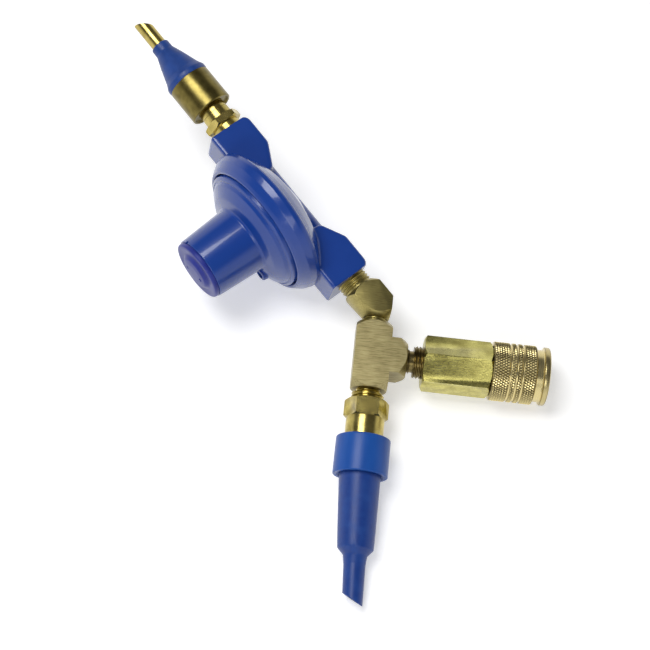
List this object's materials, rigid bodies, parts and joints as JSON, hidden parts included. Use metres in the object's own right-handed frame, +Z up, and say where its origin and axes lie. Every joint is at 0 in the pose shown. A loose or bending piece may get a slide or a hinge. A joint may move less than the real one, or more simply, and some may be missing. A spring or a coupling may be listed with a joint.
{
  "type": "balloon gas regulator assembly",
  "caption": "Balloon gas filling head: in-line diaphragm regulator with foil balloon valve, elbow, tee, quick coupler inlet and latex balloon valve.",
  "frame": {"origin": "middle of the bounding box on the table that the assembly lies on", "axes": "+Z up from the table; +Y away from the latex nozzle, along the run of the tee; +X towards the quick coupler"},
  "size_m": [0.1902, 0.2378, 0.0672],
  "materials": {
    "cast_blue": "gloss paint over a zinc casting",
    "cap_blue": "dull moulded plastic",
    "collar_blue": "satin moulded plastic",
    "rubber_blue": "moulded rubber",
    "tee_brass": "extruded and brushed",
    "elbow_brass": "extruded and brushed",
    "coupler_brass": "bright drawn, lightly stained",
    "sleeve_brass": "knurled",
    "turned_brass": "turned",
    "polished_brass": "polished",
    "black_rubber": "moulded rubber",
    "spring_steel": "spring wire",
    "ball_steel": "polished",
    "plate_steel": "pressed sheet",
    "vent_steel": "fine screen"
  },
  "bodies": {
    "fittings": {"branch_tee": "tee_brass", "elbow_45": "elbow_brass", "coupler_nipple": "turned_brass", "latex_nipple": "turned_brass", "regulator_body": "cast_blue", "regulator_bonnet": "cast_blue", "diaphragm": "black_rubber", "main_spring": "spring_steel", "inlet_orifice": "turned_brass", "lever_pin": "spring_steel", "vent_screen": "vent_steel", "foil_valve_body": "polished_brass", "foil_valve_sleeve": "polished_brass", "foil_seat_washer": "black_rubber", "foil_washer_ring": "turned_brass", "foil_return_spring": "spring_steel", "foil_valve_boot": "rubber_blue", "coupler_body": "coupler_brass", "coupler_socket": "turned_brass", "sleeve_ring": "spring_steel", "sleeve_spring": "spring_steel", "coupler_valve_spring": "spring_steel", "plug_seal": "black_rubber", "latex_valve_body": "turned_brass", "latex_collar": "collar_blue", "latex_seat_washer": "black_rubber", "latex_washer_ring": "turned_brass", "latex_return_spring": "spring_steel", "latex_nozzle_root": "rubber_blue"},
    "diaphragm_set": {"diaphragm_plate": "plate_steel", "diaphragm_stem": "turned_brass"},
    "lever_arm": {"lever": "plate_steel"},
    "valve_set": {"valve_plunger": "turned_brass", "valve_disc": "black_rubber"},
    "seat_disc": {"spring_seat": "plate_steel"},
    "screw": {"adjusting_screw": "turned_brass"},
    "cap_ring": {"cap_seal": "black_rubber"},
    "cap": {"closing_cap": "cap_blue"},
    "foil_stem": {"foil_nozzle_tube": "polished_brass"},
    "latex_tilt_stem": {"latex_stem": "plate_steel", "latex_nozzle": "rubber_blue"},
    "sleeve": {"coupler_sleeve": "sleeve_brass"},
    "inlet_valve": {"coupler_valve": "turned_brass"},
    "ball_1": {"locking_ball_1": "ball_steel"},
    "ball_2": {"locking_ball_2": "ball_steel"},
    "ball_3": {"locking_ball_3": "ball_steel"},
    "ball_4": {"locking_ball_4": "ball_steel"}
  },
  "joints": [
    {"name": "diaphragm_lift", "type": "slide", "parent": "fittings", "child": "diaphragm_set", "axis": [-0.7041, -0.7096, 0.0273], "range_m": [0, 0.001], "stiffness_N_per_m": 400, "springref_m": -0.0005, "deforming": ["diaphragm", "main_spring"]},
    {"name": "lever_swing", "type": "hinge", "parent": "fittings", "child": "lever_arm", "pos_m": [-0.02851, 0.04569, 0.03467], "axis": [-0.1727, 0.1338, -0.9758], "range_deg": [0, 9.55]},
    {"name": "valve_travel", "type": "slide", "parent": "fittings", "child": "valve_set", "axis": [0.6888, -0.6918, -0.2168], "range_m": [0, 0.00093343]},
    {"name": "seat_travel", "type": "slide", "parent": "fittings", "child": "seat_disc", "axis": [-0.7041, -0.7096, 0.0273], "range_m": [-0.003, 0.0015]},
    {"name": "screw_turn", "type": "hinge", "parent": "seat_disc", "child": "screw", "pos_m": [-0.04874, 0.01699, 0.03432], "axis": [-0.7041, -0.7096, 0.0273], "range_deg": [-720.01, 360.01]},
    {"name": "cap_lift", "type": "slide", "parent": "fittings", "child": "cap_ring", "axis": [-0.7041, -0.7096, 0.0273], "range_m": [0, 0.0045]},
    {"name": "cap_turn", "type": "hinge", "parent": "cap_ring", "child": "cap", "pos_m": [-0.05501, 0.01067, 0.03456], "axis": [-0.7041, -0.7096, 0.0273], "range_deg": [0, 1080.01]},
    {"name": "foil_tilt", "type": "hinge", "parent": "fittings", "child": "foil_stem", "pos_m": [-0.06751, 0.08442, 0.04688], "axis": [-0.1727, 0.1338, -0.9758], "range_deg": [0, 10], "stiffness_Nm_per_rad": 0.3, "springref_deg": -11.46, "deforming": ["foil_valve_boot", "foil_return_spring"]},
    {"name": "latex_tilt", "type": "hinge", "parent": "fittings", "child": "latex_tilt_stem", "pos_m": [0.01383, -0.0534, 0.01342], "axis": [0.075, -0.1283, 0.9889], "range_deg": [0, 8], "stiffness_Nm_per_rad": 0.3, "springref_deg": -11.46, "deforming": ["latex_nozzle_root", "latex_return_spring"]},
    {"name": "sleeve_slide", "type": "slide", "parent": "fittings", "child": "sleeve", "axis": [0.9971, 0, -0.0757], "range_m": [0, 0.003], "deforming": ["sleeve_spring"]},
    {"name": "ball_1_lock", "type": "slide", "parent": "fittings", "child": "ball_1", "axis": [0.0462, -0.792, 0.6088], "range_m": [0, 0.00060001]},
    {"name": "ball_2_lock", "type": "slide", "parent": "fittings", "child": "ball_2", "axis": [-0.0599, -0.6106, -0.7897], "range_m": [0, 0.00060001]},
    {"name": "ball_3_lock", "type": "slide", "parent": "fittings", "child": "ball_3", "axis": [-0.0462, 0.792, -0.6088], "range_m": [0, 0.00060001]},
    {"name": "ball_4_lock", "type": "slide", "parent": "fittings", "child": "ball_4", "axis": [0.0599, 0.6106, 0.7897], "range_m": [0, 0.00060001]},
    {"name": "inlet_valve_slide", "type": "slide", "parent": "fittings", "child": "inlet_valve", "axis": [-0.9971, 0, 0.0757], "range_m": [0, 0.004], "stiffness_N_per_m": 250, "springref_m": -0.003, "deforming": ["coupler_valve_spring"]}
  ],
  "couplings": [
    {"joint": "lever_swing", "follows": "diaphragm_lift", "rad_per_m": 166.67},
    {"joint": "valve_travel", "follows": "diaphragm_lift", "ratio": 0.93333},
    {"joint": "screw_turn", "follows": "seat_travel", "rad_per_m": 4188.8},
    {"joint": "cap_turn", "follows": "cap_lift", "rad_per_m": 4188.8},
    {"joint": "ball_1_lock", "follows": "sleeve_slide", "ratio": 0.2},
    {"joint": "ball_2_lock", "follows": "sleeve_slide", "ratio": 0.2},
    {"joint": "ball_3_lock", "follows": "sleeve_slide", "ratio": 0.2},
    {"joint": "ball_4_lock", "follows": "sleeve_slide", "ratio": 0.2}
  ]
}
